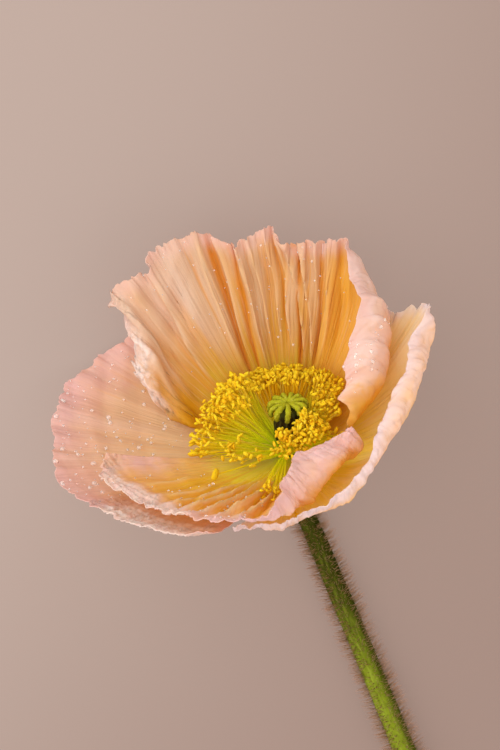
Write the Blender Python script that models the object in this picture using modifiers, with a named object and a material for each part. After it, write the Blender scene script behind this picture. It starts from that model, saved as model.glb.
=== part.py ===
"""Iceland poppy: one cut flower that lies on a flat surface, with its head raised and facing up and back.

Metres, +Z up, +Y along the stem towards the head. The four petals are lofted through ribs that run from the
receptacle out to the rim, in the head's own frame: side, back and axis.
"""

import math

import bpy
import numpy as np
from mathutils import Matrix, Vector

MM = 0.001

# the head
HEAD_AT = Vector((0.0034, 0.0362, 0.0185))  # centre of the receptacle's flat top
HEAD_PITCH = math.radians(45)  # from straight up, towards +Y
HEAD_YAW = math.radians(10)  # about straight up, anticlockwise

# petals
CLAW_R = 3.9 * MM  # where every petal starts, 0.3 mm clear of the receptacle's side
OUTER_DROP = -1.8 * MM  # outer pair's claws sit this far below the receptacle's top
PETAL_THICK = 0.5 * MM
RIB_STEPS = 14
LOFT_STEPS = 2  # grid columns for each gap between two ribs

# stem
STEM_TIP = Vector((0.0534, -0.0908))  # centre of the cut end on the ground, seen from above
STEM_R_TOP = 2.35 * MM
STEM_R_GROUND = 2.6 * MM
STEM_R_END = 3.05 * MM
STEM_TURN = math.radians(13)  # how far the bend swings the stem sideways
BEND_STEPS = 10
RUN_STEPS = 8
RECEPTACLE_R = 3.6 * MM

# pistil
PISTIL_SEAT = 0.3 * MM
RAYS = 10
RAY_STEPS = 6  # loft points for each ray

# stamens
STAMEN_RINGS = 3
STAMENS_A_RING = 14
STAMEN_RING_R = (2.3 * MM, 2.8 * MM, 3.25 * MM)
STAMEN_RISE = (13.0, 4.0, -5.0)  # degrees each ring adds to the table's elevation
STAMEN_SEAT = 0.3 * MM
FILAMENT_R = 0.22 * MM
ANTHER_R = 0.7 * MM

# rib: azimuth, length in mm, elevation at its four stations, extra turn and width in mm of the rolled margin,
# and the azimuth that the rolled margin drifts by
LEFT_RIBS = (
    (104, 28, 7, 19, 26, 30, 0, 10, 0),
    (110, 37, 6, 18, 26, 30, 0, 10, 0),
    (120, 43, 6, 17, 24, 28, 0, 10, 0),
    (134, 48, 5, 15, 21, 25, 0, 10, 0),
    (145, 53, 1, 11, 17, 21, 0, 10, 0),
    (154, 56, 0, 10, 16, 20, 0, 10, 0),
    (163, 57, 0, 10, 16, 20, 0, 10, 0),
    (173, 56, 0, 10, 16, 20, 0, 10, 0),
    (184, 55, 1, 11, 17, 20, 0, 10, 0),
    (194, 54, 3, 13, 19, 22, 0, 10, 0),
    (205, 53, 6, 16, 22, 27, 10, 10, 0),
    (216, 54, 8, 18, 24, 32, 60, 9, 0),
    (228, 54, 9, 18, 25, 33, 100, 9, 0),
    (237, 49, 9, 19, 25, 31, 90, 8, 0),
    (242, 45, 9, 20, 25, 31, 50, 8, 0),
)
RIGHT_RIBS = (
    (76, 28, 6, 18, 26, 30, 0, 10, 0),
    (70, 36, 5, 17, 26, 30, 0, 10, 0),
    (60, 41, 5, 17, 25, 29, 0, 10, 0),
    (46, 41, 6, 22, 34, 38, 0, 10, 0),
    (31, 39, 10, 30, 46, 50, 0, 10, 0),
    (20, 43, 12, 34, 50, 52, 0, 10, 0),
    (13, 52, 14, 36, 53, 55, 20, 10, 0),
    (7, 55, 13, 34, 52, 56, 110, 8, 0),
    (0, 55, 12, 32, 54, 60, 140, 12, 0),
    (-12, 54, 10, 29, 60, 68, 140, 11, 0),
    (-24, 50, 9, 28, 60, 68, 140, 10, 0),
    (-36, 45, 7, 26, 57, 65, 140, 8, 0),
    (-48, 41, 7, 27, 50, 58, 130, 6, 0),
    (-60, 39, 6, 24, 42, 50, 110, 5, 0),
    (-72, 39, 6, 22, 36, 44, 80, 5, 0),
    (-84, 38, 5, 19, 32, 39, 57, 6, 0),
    (-96, 39, 5, 18, 30, 36, 60, 6, 0),
    (-106, 40, 5, 18, 30, 36, 50, 5, 0),
    (-114, 41, 5, 18, 30, 36, 50, 5, 0),
)
BACK_RIBS = (
    (160, 26, 6, 10, 14, 20, 0, 10, 0),
    (156, 37, 6, 12, 41, 60, -60, 10, 0),
    (151, 46, 6, 14, 64, 56, -80, 14, 0),
    (147, 48, 6, 21, 64, 58, -70, 12, 0),
    (143, 53, 8, 26, 58, 56, -60, 12, 0),
    (139, 57, 14, 32, 50, 54, -40, 12, 0),
    (131, 55, 22, 38, 44, 50, 0, 10, 0),
    (125, 54, 28, 40, 46, 52, 0, 10, 0),
    (115, 57, 30, 42, 50, 56, 0, 10, 0),
    (106, 55, 30, 44, 52, 58, 0, 10, 0),
    (98, 50, 32, 46, 56, 60, 0, 10, 0),
    (88, 52, 32, 46, 56, 60, 0, 10, 0),
    (82, 54, 32, 46, 56, 60, 0, 10, 0),
    (76, 49, 32, 46, 56, 60, 0, 10, 0),
    (69, 49, 32, 48, 58, 62, 0, 10, 0),
    (60, 50, 30, 48, 58, 62, 0, 10, 0),
    (51, 52, 27, 46, 57, 61, 30, 8, 0),
    (42, 56, 24, 42, 59, 67, 105, 12, 0),
    (30, 53, 22, 41, 60, 72, 108, 16, 0),
    (18, 53, 20, 37, 62, 76, 121, 18, 0),
    (7, 49, 20, 38, 62, 82, 128, 18, 0),
    (-3, 46, 19, 38, 63, 87, 138, 18, 0),
    (-11, 39, 17, 36, 61, 87, 130, 14, 0),
    (-20, 34, 16, 35, 61, 87, 110, 13, 0),
    (-27, 28, 14, 28, 62, 90, 80, 10, 0),
)
FRONT_RIBS = (
    (192, 45, 12, 22, 28, 32, 0, 10, 0),
    (201, 48, 11, 21, 26, 30, 0, 10, 0),
    (212, 46, 13, 23, 28, 32, 0, 10, 0),
    (222, 46, 14, 24, 29, 33, 0, 10, 0),
    (231, 46, 15, 27, 30, 34, 0, 10, 0),
    (243, 46, 16, 29, 30, 34, 0, 10, 0),
    (250, 48, 17, 31, 30, 34, 20, 10, 0),
    (258, 47, 16, 30, 28, 35, 44, 11, -1),
    (265, 46, 16, 30, 26, 37, 51, 13, -4),
    (271, 42, 14, 26, 24, 46, 62, 15, -7),
    (277, 39, 12, 22, 35, 66, 62, 15, -11),
    (284, 37, 13, 24, 45, 83, 65, 13, -14),
    (291, 37, 14, 26, 54, 94, 90, 12, -15),
    (300, 34, 15, 28, 58, 96, 100, 10, -12),
    (309, 32, 14, 27, 56, 92, 60, 10, -9),
    (318, 33, 12, 20, 63, 95, 25, 13, -4),
)

# azimuth, elevation in degrees and length in mm of the stamens
STAMEN_LEAN = (
    (-45, 60, 18.5),
    (0, 48, 21.0),
    (45, 56, 21.0),
    (90, 62, 21.5),
    (135, 54, 22.5),
    (180, 40, 24.0),
    (225, 42, 22.0),
    (270, 60, 18.5),
    (315, 60, 18.5),
)

# height and radius of the pistil in mm, and how much of the ray pattern shows
PISTIL_PROFILE = (
    (0.0, 1.5, 0.0),
    (1.5, 2.1, 0.0),
    (4.0, 2.7, 0.2),
    (7.0, 2.9, 0.3),
    (10.0, 2.7, 0.3),
    (11.6, 2.8, 0.3),
    (12.0, 4.6, 1.0),
    (12.4, 5.2, 1.0),
    (13.2, 5.1, 1.0),
    (14.2, 4.0, 0.9),
    (14.8, 2.4, 0.6),
    (15.0, 0.8, 0.2),
)


def clear_scene():
    for obj in list(bpy.data.objects):
        bpy.data.objects.remove(obj, do_unlink=True)


def head_frame():
    """Columns are the head's side, back and axis, at the receptacle's top."""
    pitch = Matrix.Rotation(-HEAD_PITCH, 3, "X")
    yaw = Matrix.Rotation(HEAD_YAW, 3, "Z")
    return yaw @ pitch


HEAD = head_frame()


def from_head(point):
    """A point of the head's own frame, in the object's frame."""
    return HEAD @ Vector(point) + HEAD_AT


def through(rows, place):
    """Catmull-Rom through the rows at place, which counts rows from 0."""
    last = len(rows) - 1
    first = min(int(place), last - 1)
    f = place - first
    b, c = rows[first], rows[first + 1]
    a = rows[first - 1] if first > 0 else 2 * b - c
    d = rows[first + 2] if first + 2 <= last else 2 * c - b
    return 0.5 * (2 * b + (c - a) * f + (2 * a - 5 * b + 4 * c - d) * f**2 + (3 * b - a - 3 * c + d) * f**3)


def rib_points(rib, drop):
    """Points along one rib: its elevation is integrated outwards from the claw."""
    azimuth, length, roll, span, drift = rib[0], rib[1] * MM, rib[6], rib[7] * MM, rib[8]
    stations = rib[2:6]
    steps = np.linspace(0, 1, RIB_STEPS)
    rolled = np.clip(1 - (1 - steps) * length / span, 0, 1) ** 1.2
    rise = np.array([through(stations, 3 * t) for t in steps]) + roll * rolled
    rise = np.radians(rise)
    step = length / (RIB_STEPS - 1)
    out = np.cos(rise)
    up = np.sin(rise)
    radius = CLAW_R + np.append(0, np.cumsum(out[1:] + out[:-1]) * step / 2)
    height = drop + np.append(0, np.cumsum(up[1:] + up[:-1]) * step / 2)
    turn = np.radians(azimuth + drift * rolled)
    return list(zip(radius * np.cos(turn), radius * np.sin(turn), height))


def new_mesh(name, points, faces, material, home):
    mesh = bpy.data.meshes.new(name)
    mesh.from_pydata([tuple(p) for p in points], [], faces)
    mesh.materials.append(material)
    mesh.shade_smooth()
    obj = bpy.data.objects.new(name, mesh)
    home.objects.link(obj)
    return obj


def add_petal(name, ribs, drop, material, home):
    """An open lofted surface through the ribs, given its thickness by Solidify."""
    rows = np.array(ribs, float)
    columns = LOFT_STEPS * (len(rows) - 1) + 1
    points = []
    for column in range(columns):
        rib = through(rows, column / LOFT_STEPS)
        points += [from_head(p) for p in rib_points(rib, drop)]
    faces = []
    for column in range(columns - 1):
        for k in range(RIB_STEPS - 1):
            a = column * RIB_STEPS + k
            b = a + RIB_STEPS
            faces.append((a, b, b + 1, a + 1))
    petal = new_mesh(name, points, faces, material, home)
    thick = petal.modifiers.new("thickness", "SOLIDIFY")
    thick.thickness = PETAL_THICK
    thick.offset = 0
    thick.use_rim = True
    return petal


def add_tube(name, points, radii, sides, material, home):
    """A capped tube through the points, with its own radius at each of them."""
    curve = bpy.data.curves.new(name, "CURVE")
    curve.dimensions = "3D"
    curve.bevel_depth = 1.0
    curve.bevel_resolution = sides // 2 - 2
    curve.use_fill_caps = True
    curve.materials.append(material)
    spline = curve.splines.new("POLY")
    spline.points.add(len(points) - 1)
    for spot, point, radius in zip(spline.points, points, radii):
        spot.co = (*point, 1)
        spot.radius = radius
    spline.use_smooth = True
    obj = bpy.data.objects.new(name, curve)
    home.objects.link(obj)
    return obj


def stem_path():
    """Centre line and radii: receptacle, straight neck, bend down to the ground, bowed run to the cut end."""
    axis = HEAD @ Vector((0, 0, 1))
    points = [HEAD_AT.copy()]
    radii = [RECEPTACLE_R]
    for below, radius in ((2.6, 3.6), (4.0, 3.2), (5.5, 2.6), (7.0, STEM_R_TOP / MM)):
        points.append(HEAD_AT - axis * below * MM)
        radii.append(radius * MM)
    # the bend turns the axis level and, in its first half, sideways too
    tip = Vector((*STEM_TIP, STEM_R_END))
    drop = points[-1].z - STEM_R_END
    slope = math.asin(axis.z)
    bend = drop / (1 - math.cos(slope))
    start = math.atan2(-axis.y, -axis.x)
    here = points[-1].copy()
    for k in range(1, BEND_STEPS + 1):
        t = (k - 0.5) / BEND_STEPS
        fall = slope * (1 - t)
        yaw = start + STEM_TURN * min(1, 2 * t)
        along = Vector((math.cos(yaw) * math.cos(fall), math.sin(yaw) * math.cos(fall), -math.sin(fall)))
        here = here + along * bend * slope / BEND_STEPS
        points.append(here.copy())
        radii.append(STEM_R_TOP + (STEM_R_GROUND - STEM_R_TOP) * k / BEND_STEPS)
    # on the ground it is a shallow bow
    ground = here.copy()
    yaw = start + STEM_TURN
    middle = ground + Vector((math.cos(yaw), math.sin(yaw), 0)) * (tip - ground).length / 2
    for k in range(1, RUN_STEPS + 1):
        t = k / RUN_STEPS
        points.append(ground * (1 - t) ** 2 + middle * 2 * t * (1 - t) + tip * t * t)
        radii.append(STEM_R_GROUND + (STEM_R_END - STEM_R_GROUND) * t)
    return points, radii


def add_stem(material, home):
    points, radii = stem_path()
    return add_tube("stem", points, radii, 16, material, home)


def add_pistil(material, home):
    """Ovary and its cap of drooping rays, lofted through scalloped rings."""
    around = RAYS * RAY_STEPS
    points = []
    for height, radius, share in PISTIL_PROFILE:
        for k in range(around):
            turn = 2 * math.pi * k / around
            wave = math.cos(RAYS * turn)
            r = (radius + 0.45 * share * wave) * MM
            h = PISTIL_SEAT + (height + 0.25 * share * wave) * MM
            points.append(from_head((r * math.cos(turn), r * math.sin(turn), h)))
    faces = []
    for row in range(len(PISTIL_PROFILE) - 1):
        for k in range(around):
            a = row * around + k
            b = row * around + (k + 1) % around
            faces.append((a, b, b + around, a + around))
    top = (len(PISTIL_PROFILE) - 1) * around
    faces.append(tuple(reversed(range(around))))
    faces.append(tuple(range(top, top + around)))
    return new_mesh("pistil", points, faces, material, home)


def stamen_lean(azimuth):
    """Elevation and length of a stamen at this azimuth."""
    rows = np.array(STAMEN_LEAN, float)
    azimuth = (azimuth + 45) % 360 - 45
    return np.interp(azimuth, rows[:, 0], rows[:, 1]), np.interp(azimuth, rows[:, 0], rows[:, 2])


def add_stamen(name, ring, place, material, home):
    """A thin filament that leans out and carries a plump anther."""
    nudge = (place * 0.618 + ring * 0.37) % 1 - 0.5
    azimuth = 360 * (place + ring / STAMEN_RINGS) / STAMENS_A_RING + 3 * nudge
    elevation, length = stamen_lean(azimuth)
    elevation = math.radians(elevation + STAMEN_RISE[ring] + 5 * nudge)
    length = (length + 1.5 * nudge) * MM
    turn = math.radians(azimuth)
    root = STAMEN_RING_R[ring]
    points = []
    for t in (0, 0.2, 0.4, 0.6, 0.78, 0.88, 0.9, 0.93, 0.97, 1.0):
        rise = elevation - 0.12 * t
        r = root + length * t * math.cos(rise)
        h = STAMEN_SEAT + length * t * math.sin(rise)
        points.append(from_head((r * math.cos(turn), r * math.sin(turn), h)))
    radii = [FILAMENT_R] * 6 + [ANTHER_R * 0.75, ANTHER_R, ANTHER_R, ANTHER_R * 0.6]
    return add_tube(name, points, radii, 6, material, home)


def material(name, colour, roughness):
    mat = bpy.data.materials.new(name)
    mat.use_nodes = True
    shader = mat.node_tree.nodes["Principled BSDF"]
    shader.inputs["Base Color"].default_value = (*colour, 1)
    shader.inputs["Roughness"].default_value = roughness
    shader.inputs["Metallic"].default_value = 0
    return mat


def build():
    clear_scene()
    home = bpy.data.collections.new("iceland_poppy")
    bpy.context.scene.collection.children.link(home)
    peach = material("petal", (0.82, 0.45, 0.24), 0.6)
    green = material("stem", (0.13, 0.19, 0.04), 0.6)
    lime = material("pistil", (0.30, 0.36, 0.06), 0.55)
    yellow = material("stamen", (0.75, 0.50, 0.02), 0.7)
    add_stem(green, home)
    add_pistil(lime, home)
    add_petal("petal_left", LEFT_RIBS, OUTER_DROP, peach, home)
    add_petal("petal_right", RIGHT_RIBS, OUTER_DROP, peach, home)
    add_petal("petal_back", BACK_RIBS, 0.0, peach, home)
    add_petal("petal_front", FRONT_RIBS, 0.0, peach, home)
    for ring in range(STAMEN_RINGS):
        for place in range(STAMENS_A_RING):
            number = ring * STAMENS_A_RING + place + 1
            add_stamen(f"stamen_{number:02d}", ring, place, yellow, home)


build()
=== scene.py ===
"""Looks of a cut Iceland poppy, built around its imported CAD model. Metres, +Z up."""

import math

import bpy
import numpy as np
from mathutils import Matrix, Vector


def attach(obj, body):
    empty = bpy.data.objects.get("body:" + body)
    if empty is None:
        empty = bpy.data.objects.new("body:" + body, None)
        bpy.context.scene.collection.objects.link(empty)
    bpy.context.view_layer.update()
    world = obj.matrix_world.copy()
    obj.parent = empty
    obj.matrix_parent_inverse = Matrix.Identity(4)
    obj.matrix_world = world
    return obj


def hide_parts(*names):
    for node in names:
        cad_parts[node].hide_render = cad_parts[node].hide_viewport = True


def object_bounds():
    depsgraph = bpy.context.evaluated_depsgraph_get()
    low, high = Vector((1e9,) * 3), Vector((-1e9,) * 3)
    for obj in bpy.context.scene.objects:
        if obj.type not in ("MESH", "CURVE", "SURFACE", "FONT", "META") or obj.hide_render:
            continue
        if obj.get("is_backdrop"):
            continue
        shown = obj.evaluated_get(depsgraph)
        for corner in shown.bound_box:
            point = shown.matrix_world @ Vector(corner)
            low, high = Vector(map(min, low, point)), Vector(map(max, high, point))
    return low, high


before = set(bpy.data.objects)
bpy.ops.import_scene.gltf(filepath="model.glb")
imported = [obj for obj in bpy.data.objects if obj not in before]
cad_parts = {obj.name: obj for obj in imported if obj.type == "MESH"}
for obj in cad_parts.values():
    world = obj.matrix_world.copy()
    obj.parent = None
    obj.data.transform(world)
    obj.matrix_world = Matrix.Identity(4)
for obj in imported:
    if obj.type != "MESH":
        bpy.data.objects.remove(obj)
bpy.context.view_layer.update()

MM = 0.001
rng = np.random.default_rng(7)

# ---- the head's frame, as in the CAD
HEAD_AT = np.array([0.0034, 0.0362, 0.0185])
PITCH, YAW = math.radians(45), math.radians(10)
AXIS = np.array([-math.sin(YAW) * math.sin(PITCH), math.cos(YAW) * math.sin(PITCH), math.cos(PITCH)])
BACK = np.array([-math.sin(YAW) * math.cos(PITCH), math.cos(YAW) * math.cos(PITCH), -math.sin(PITCH)])
SIDE = np.array([math.cos(YAW), math.sin(YAW), 0.0])
CLAW_R = 3.9 * MM
OUTER_DROP = -1.8 * MM


def rib_rows(*rows):
    """Ribs of a petal: azimuth, length in mm and elevation at four stations. Where the margin is rolled,
    a rib also has the roll's extra turn, its width in mm and, where it drifts sideways, by how much."""
    flat_margin = (0, 10, 0)
    return [(*row, *flat_margin[len(row) - 6 :]) for row in rows]


LEFT_RIBS = rib_rows(
    (104, 28, 7, 19, 26, 30), (110, 37, 6, 18, 26, 30), (120, 43, 6, 17, 24, 28),
    (134, 48, 5, 15, 21, 25), (145, 53, 1, 11, 17, 21), (154, 56, 0, 10, 16, 20),
    (163, 56, 0, 10, 16, 20), (173, 55, 0, 10, 16, 20), (184, 55, 1, 11, 17, 20),
    (194, 54, 3, 13, 19, 22), (205, 52.3, 6, 16, 22, 27, 2, 10), (216, 51.8, 8, 18, 24, 32, 12, 9),
    (228, 49.9, 9, 19, 26, 34, 22, 9), (237, 45.6, 9, 20, 26, 33, 20, 8),
    (242, 42.5, 9, 21, 26, 33, 10, 8),
)
RIGHT_RIBS = rib_rows(
    (76, 28, 6, 18, 26, 30), (70, 36, 5, 17, 26, 30), (60, 41, 5, 17, 25, 29), (46, 41, 6, 22, 34, 38),
    (31, 41, 10, 30, 46, 50), (24, 42.4, 12, 33, 49.5, 51.5), (21.5, 46.2, 12, 34, 50, 52),
    (17.5, 46.4, 13, 35, 51, 53), (15.5, 49.5, 14, 36, 53, 55), (10, 51.5, 14, 36, 53, 55, 10, 10),
    (6, 55, 13, 34, 52, 56, 100, 8), (0, 51.8, 12, 32, 54, 60, 140, 9),
    (-12, 51, 10, 29, 60, 68, 140, 8.5), (-24, 47.8, 9, 28, 60, 68, 140, 8),
    (-36, 43.8, 7, 26, 57, 65, 140, 7), (-48, 40.4, 7, 27, 50, 58, 130, 5.5),
    (-60, 39, 6, 24, 42, 50, 110, 5), (-72, 39, 6, 22, 36, 44, 80, 5), (-84, 38, 5, 19, 32, 39, 57, 6),
    (-96, 39, 5, 18, 30, 36, 60, 6), (-106, 40, 5, 18, 30, 36, 50, 5), (-114, 41, 5, 18, 30, 36, 50, 5),
)
BACK_RIBS = rib_rows(
    (160, 26, 6, 10, 14, 20), (156, 37, 6, 12, 41, 60, -60, 10), (151, 46, 6, 14, 64, 56, -80, 14),
    (147, 48, 6, 21, 64, 58, -70, 12), (143, 53, 8, 26, 58, 56, -60, 12),
    (139, 57, 14, 32, 50, 54, -40, 12), (131, 54.5, 22, 38, 44, 50), (127, 53, 26, 39, 45, 51),
    (125.4, 57, 28, 40, 46, 52), (115, 57, 30, 42, 50, 56), (106, 55, 30, 44, 52, 58),
    (98, 50, 32, 46, 56, 60), (88, 52, 32, 46, 56, 60), (82, 53, 32, 46, 56, 60),
    (76, 49, 32, 46, 56, 60), (69, 49, 32, 48, 58, 62), (60, 50, 30, 48, 58, 62),
    (51, 52, 27, 46, 57, 61, 30, 8), (42, 56, 24, 42, 59, 67, 105, 12),
    (30, 53, 22, 41, 60, 72, 108, 16), (18, 53, 20, 37, 62, 76, 121, 18),
    (7, 49, 20, 38, 62, 82, 128, 18), (-3, 46, 19, 38, 63, 87, 138, 18),
    (-10, 37.5, 17, 38, 63, 88, 134, 13), (-17, 31.5, 16, 38, 66, 90, 136, 10.5),
    (-23, 23, 15, 33, 54, 68, 70, 5), (-30, 15, 13, 26, 40, 46, 0, 5),
)
FRONT_RIBS = rib_rows(
    (192, 45, 12, 22, 28, 32), (201, 48, 11, 21, 26, 30), (212, 46, 13, 23, 28, 32),
    (222, 46, 14, 24, 29, 33), (231, 46, 15, 27, 30, 34), (243, 46, 16, 29, 30, 34),
    (250, 48, 17, 31, 30, 34, 20, 10), (258, 47, 16, 30, 28, 35, 44, 11, -1),
    (265, 46, 16, 30, 26, 37, 51, 13, -4), (271, 42, 14, 26, 24, 46, 62, 15, -7),
    (277, 39, 12, 22, 35, 66, 62, 15, -11), (284, 37, 13, 24, 45, 83, 65, 13, -14),
    (291, 37, 14, 26, 54, 94, 90, 12, -15), (300, 34, 15, 28, 58, 96, 100, 10, -12),
    (309, 32, 14, 27, 56, 92, 60, 10, -9), (318, 33, 12, 20, 63, 95, 25, 13, -4),
)

# main folds: azimuth at the rim and two thirds of the way in, height in mm (grooves are negative),
# half width in degrees, how far out it starts
BACK_FOLDS = (
    (146, 155, 1.3, 2.2, 0.4), (143, 151, -1.2, 1.6, 0.45), (139.5, 146, 1.2, 2, 0.35),
    (136.5, 142, -0.7, 1.4, 0.4), (133.5, 139, 0.8, 1.8, 0.35), (129.5, 136, -0.9, 1.8, 0.35),
    (126.5, 134, 1.5, 1.5, 0.25), (123, 130, -0.7, 2.4, 0.35), (118.5, 124, 0.6, 2.6, 0.4),
    (113, 117, -0.4, 2, 0.45), (109, 111.5, 1.2, 1.8, 0.22), (105.7, 108.2, -2.2, 1.25, 0.12),
    (102.7, 105, 1.2, 1.2, 0.2), (100, 101.5, -1.7, 1.2, 0.15), (97.2, 94, 1.9, 1, 0.2),
    (94, 90.5, -0.6, 1, 0.3), (91.5, 87, 1.1, 1, 0.25), (88, 84, -0.5, 1.6, 0.35),
    (84.6, 80, 0.9, 1.1, 0.3), (81.8, 76, -0.9, 0.9, 0.3), (79.2, 72, 1, 1, 0.25), (76.6, 62, 1.7, 1, 0.2),
    (73.5, 67, -2.1, 1.3, 0.12), (70.5, 57, 1.5, 1.1, 0.2), (67.5, 60, -0.9, 1, 0.25),
    (63.5, 53, 0.9, 1.2, 0.25), (61, 55.5, -1.5, 1, 0.15), (57.5, 50, 0.8, 1.5, 0.25),
    (52.5, 45, -0.9, 1.8, 0.3), (48.5, 42, 0.5, 1.2, 0.35), (36, 36, 0.4, 3, 0.5), (22, 22, -0.4, 3, 0.4),
    (8, 8, 0.4, 3, 0.4),
)
LEFT_FOLDS = (
    (118, 122, 0.7, 3, 0.3), (126, 129, -0.5, 3, 0.3), (135, 138, 0.5, 3, 0.35), (143, 146, -0.4, 3, 0.4),
    (151, 152, 0.6, 2.5, 0.3), (156, 158, -0.6, 2.2, 0.25), (162, 163, 0.8, 2.4, 0.25),
    (167.5, 168, -0.9, 2, 0.2), (172, 172, 0.8, 2.2, 0.2), (177.5, 176, -0.8, 2, 0.25),
    (183, 182, 0.5, 3, 0.3), (191, 189, -0.4, 3, 0.4), (199, 196, 0.5, 3, 0.35), (206, 204, 1, 0.9, 0.55),
    (209, 207, 1.4, 0.8, 0.55), (212, 210, 1.2, 0.9, 0.55), (215, 213, 1.6, 0.8, 0.55),
    (218, 216, 1.3, 0.7, 0.55), (221, 219, 1.6, 0.8, 0.55), (224, 222, 1.2, 0.8, 0.55),
    (227, 225, 1.4, 0.8, 0.55), (231, 229, 1.3, 1, 0.55),
)
FRONT_FOLDS = (
    (196, 199, 0.5, 2.5, 0.4), (202, 206, -0.6, 2.2, 0.3), (207, 212, 0.7, 2, 0.25),
    (212, 217, -0.6, 1.8, 0.25), (214, 227, 1, 1.3, 0.2), (217, 230, -0.7, 1.2, 0.2),
    (220.5, 234, 1.6, 1, 0.15), (223.5, 237, -1, 1.1, 0.15), (227, 241, 2.1, 1, 0.1),
    (230, 244, -1.4, 1.2, 0.1), (233.5, 248, 2.5, 1, 0.06), (237, 251, -1.7, 1.2, 0.1),
    (241, 254.5, 2.6, 1.1, 0.06), (244.5, 257, -1.6, 1.2, 0.1), (248, 259.5, 2, 1.1, 0.08),
    (251.5, 261.5, -1.2, 1.4, 0.1), (255.5, 264, 1.1, 1.4, 0.15), (263, 265, 0.5, 2.5, 0.3),
    (275, 275, -0.4, 4, 0.3), (288, 288, 0.5, 4, 0.3), (302, 302, -0.5, 4, 0.3),
)
RIGHT_FOLDS = (
    (62, 66, 0.6, 3, 0.3), (54, 57, -0.7, 3, 0.3), (47, 49, 0.8, 2.4, 0.3), (41, 42, -0.8, 2.2, 0.25),
    (35, 35, 0.9, 2.2, 0.25), (29, 29, -0.9, 2, 0.25), (24, 23, 0.8, 1.8, 0.25), (19, 18, -0.8, 2, 0.25),
    (12, 12, 0.5, 2.6, 0.35), (4, 4, -0.4, 3, 0.3), (-9, -9, 0.5, 4, 0.3), (-22, -22, -0.5, 4, 0.3),
    (-34, -34, 0.5, 4, 0.3), (-46, -46, -0.5, 3, 0.3), (-58, -58, 0.5, 3, 0.3), (-70, -70, -0.5, 3, 0.3),
    (-82, -82, 0.5, 3, 0.3), (-94, -94, -0.5, 3, 0.3), (-106, -106, 0.4, 3, 0.3),
)


# ---- small tools
def noise1(x, seed):
    table = np.random.default_rng(seed).uniform(-1, 1, 512)
    x = np.asarray(x, float)
    cell = np.floor(x).astype(int)
    f = x - cell
    f = f * f * (3 - 2 * f)
    return table[cell % 512] * (1 - f) + table[(cell + 1) % 512] * f


def noise2(x, y, seed):
    """Smooth gradient noise, about -1 to 1, with features of about one unit."""
    slope = np.random.default_rng(seed).uniform(0, 2 * math.pi, (128, 128))
    x, y = 0.8 * x - 0.6 * y, 0.6 * x + 0.8 * y
    cx, cy = np.floor(x).astype(int), np.floor(y).astype(int)
    fx, fy = x - cx, y - cy
    sx, sy = fx**3 * (fx * (6 * fx - 15) + 10), fy**3 * (fy * (6 * fy - 15) + 10)

    def corner(i, j):
        a = slope[(cx + i) % 128, (cy + j) % 128]
        return np.cos(a) * (fx - i) + np.sin(a) * (fy - j)

    low = corner(0, 0) * (1 - sx) + corner(1, 0) * sx
    high = corner(0, 1) * (1 - sx) + corner(1, 1) * sx
    return 1.7 * (low * (1 - sy) + high * sy)


def smooth(x, low, high):
    f = np.clip((x - low) / (high - low), 0, 1)
    return f * f * (3 - 2 * f)


def catmull(values, place):
    v = np.asarray(values, float)
    n = len(v)
    i = np.clip(np.floor(place).astype(int), 0, n - 2)
    f = (place - i)[:, None]
    b, c = v[i], v[i + 1]
    a = np.where((i > 0)[:, None], v[np.maximum(i - 1, 0)], 2 * b - c)
    d = np.where((i < n - 2)[:, None], v[np.minimum(i + 2, n - 1)], 2 * c - b)
    square, cube = 2 * a - 5 * b + 4 * c - d, 3 * b - a - 3 * c + d
    return 0.5 * (2 * b + (c - a) * f + square * f**2 + cube * f**3)


def unit(v):
    return v / np.maximum(np.linalg.norm(v, axis=-1, keepdims=True), 1e-12)


def to_world(p):
    """Points of the head's frame (side, back, axis) in the row frame."""
    return HEAD_AT + p[..., 0:1] * SIDE + p[..., 1:2] * BACK + p[..., 2:3] * AXIS


def new_object(name, data):
    obj = bpy.data.objects.new(name, data)
    bpy.context.scene.collection.objects.link(obj)
    return obj


def make_mesh(name, points, quads, materials, numbers=None, indices=None):
    """One smooth mesh object from arrays; numbers holds per-point attributes."""
    mesh = bpy.data.meshes.new(name)
    mesh.from_pydata(np.asarray(points).reshape(-1, 3).tolist(), [], [tuple(q) for q in quads])
    for m in materials:
        mesh.materials.append(m)
    if indices is not None:
        mesh.polygons.foreach_set("material_index", np.asarray(indices, np.int32))
    for key, values in (numbers or {}).items():
        layer = mesh.attributes.new(key, "FLOAT", "POINT")
        layer.data.foreach_set("value", np.asarray(values, np.float32).ravel())
    mesh.shade_smooth()
    mesh.update()
    return new_object(name, mesh)


def grid_quads(rows, cols, wrap=False):
    """Quads of a rows x cols grid of points, each row's points side by side."""
    i, j = np.meshgrid(np.arange(rows - 1), np.arange(cols if wrap else cols - 1), indexing="ij")
    i, j = i.ravel(), j.ravel()
    k = (j + 1) % cols
    return np.stack([i * cols + j, i * cols + k, (i + 1) * cols + k, (i + 1) * cols + j], 1)


def copies(quads, count, size):
    """The same quads for each of many pieces that follow each other, of this many points."""
    return (quads[None] + (np.arange(count) * size)[:, None, None]).reshape(-1, 4)


def end_caps(start, rings, sides):
    """The faces that close both ends of a tube whose points begin at start."""
    last = start + (rings - 1) * sides
    return [tuple(range(start, start + sides))[::-1], tuple(range(last, last + sides))]


def ball_angles(rings, sides, tip):
    """Angles down from a ball's pole and round it, with a small opening of this angle at each tip."""
    v = np.linspace(tip, math.pi - tip, rings)
    u = np.linspace(0, 2 * math.pi, sides, endpoint=False)
    return np.meshgrid(v, u, indexing="ij")


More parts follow.
